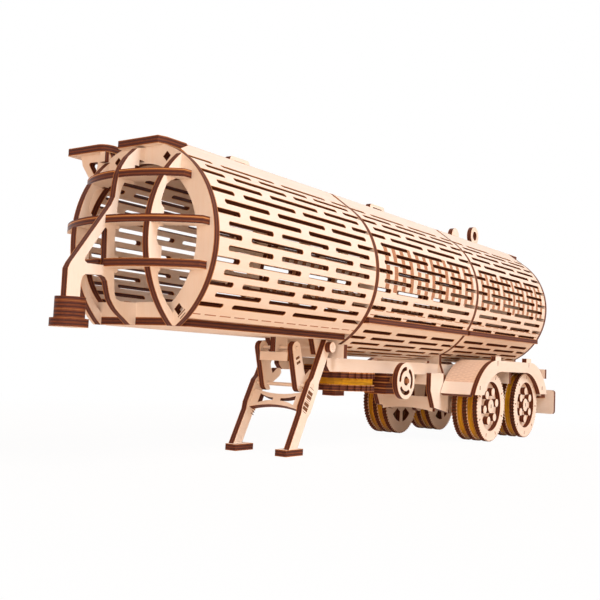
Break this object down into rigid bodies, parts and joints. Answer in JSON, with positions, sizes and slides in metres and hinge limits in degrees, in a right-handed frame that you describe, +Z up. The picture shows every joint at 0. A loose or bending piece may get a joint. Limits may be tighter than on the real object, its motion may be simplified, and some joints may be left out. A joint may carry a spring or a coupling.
{
  "type": "toy tanker semi-trailer",
  "caption": "Plywood toy tanker semi-trailer: slatted round tank, nose cage with kingpin, landing stand and two freely turning axles under fenders.",
  "frame": {"origin": "on the ground under the middle of the overall box", "axes": "+X forward to the kingpin, +Y to the trailer's left, +Z up"},
  "size_m": [0.4352, 0.0896, 0.1508],
  "materials": {
    "birch_ply": "satin",
    "birch_rod": "satin",
    "yellow_band": "matte"
  },
  "bodies": {
    "chassis": {"apron": "birch_ply", "axle_hangers": "birch_ply", "belly_middle": "birch_ply", "belly_rear": "birch_ply", "bulkhead_rear": "birch_ply", "bulkhead_second": "birch_ply", "bulkhead_third": "birch_ply", "bumper": "birch_ply", "bumper_shelf": "birch_ply", "chassis_beams": "birch_ply", "cross_frame": "birch_ply", "fender_carrier": "birch_ply", "fender_sheet_left": "birch_ply", "fender_sheet_right": "birch_ply", "fender_sides": "birch_ply", "front_floor": "birch_ply", "front_ring": "birch_ply", "guard_plates": "birch_ply", "hand_wheel": "birch_ply", "hatch_handles": "birch_ply", "kingpin": "birch_ply", "nose_rib_centre": "birch_ply", "nose_ribs_cross": "birch_ply", "nose_ribs_side": "birch_ply", "platform_bracket": "birch_ply", "rails_middle": "birch_ply", "rails_rear": "birch_ply", "rear_lamp_board": "birch_ply", "roof_deck": "birch_ply", "roof_fin": "birch_ply", "side_platform": "birch_ply", "skin_front_left": "birch_ply", "skin_front_right": "birch_ply", "skin_middle_left": "birch_ply", "skin_middle_right": "birch_ply", "skin_rear_left": "birch_ply", "skin_rear_right": "birch_ply", "spare_band": "yellow_band", "spare_carrier": "birch_ply", "spare_discs": "birch_ply", "stand_brace": "birch_ply", "stand_feet": "birch_ply", "stand_hangers": "birch_ply", "stand_legs": "birch_ply", "stand_plank": "birch_ply", "stand_rods": "birch_rod", "stand_struts": "birch_ply", "stand_washers": "birch_ply", "winch_block": "birch_ply"},
    "front_wheels": {"axle_front": "birch_rod", "tyre_bands_front": "yellow_band", "wheel_front_left": "birch_ply", "wheel_front_right": "birch_ply"},
    "rear_wheels": {"axle_rear": "birch_rod", "tyre_bands_rear": "yellow_band", "wheel_rear_left": "birch_ply", "wheel_rear_right": "birch_ply"}
  },
  "joints": [
    {"name": "front_axle_spin", "type": "hinge", "parent": "chassis", "child": "front_wheels", "pos_m": [-0.1028, 0, 0.0227], "axis": [0, 1, 0], "continuous": true},
    {"name": "rear_axle_spin", "type": "hinge", "parent": "chassis", "child": "rear_wheels", "pos_m": [-0.1648, 0, 0.0227], "axis": [0, 1, 0], "continuous": true}
  ]
}
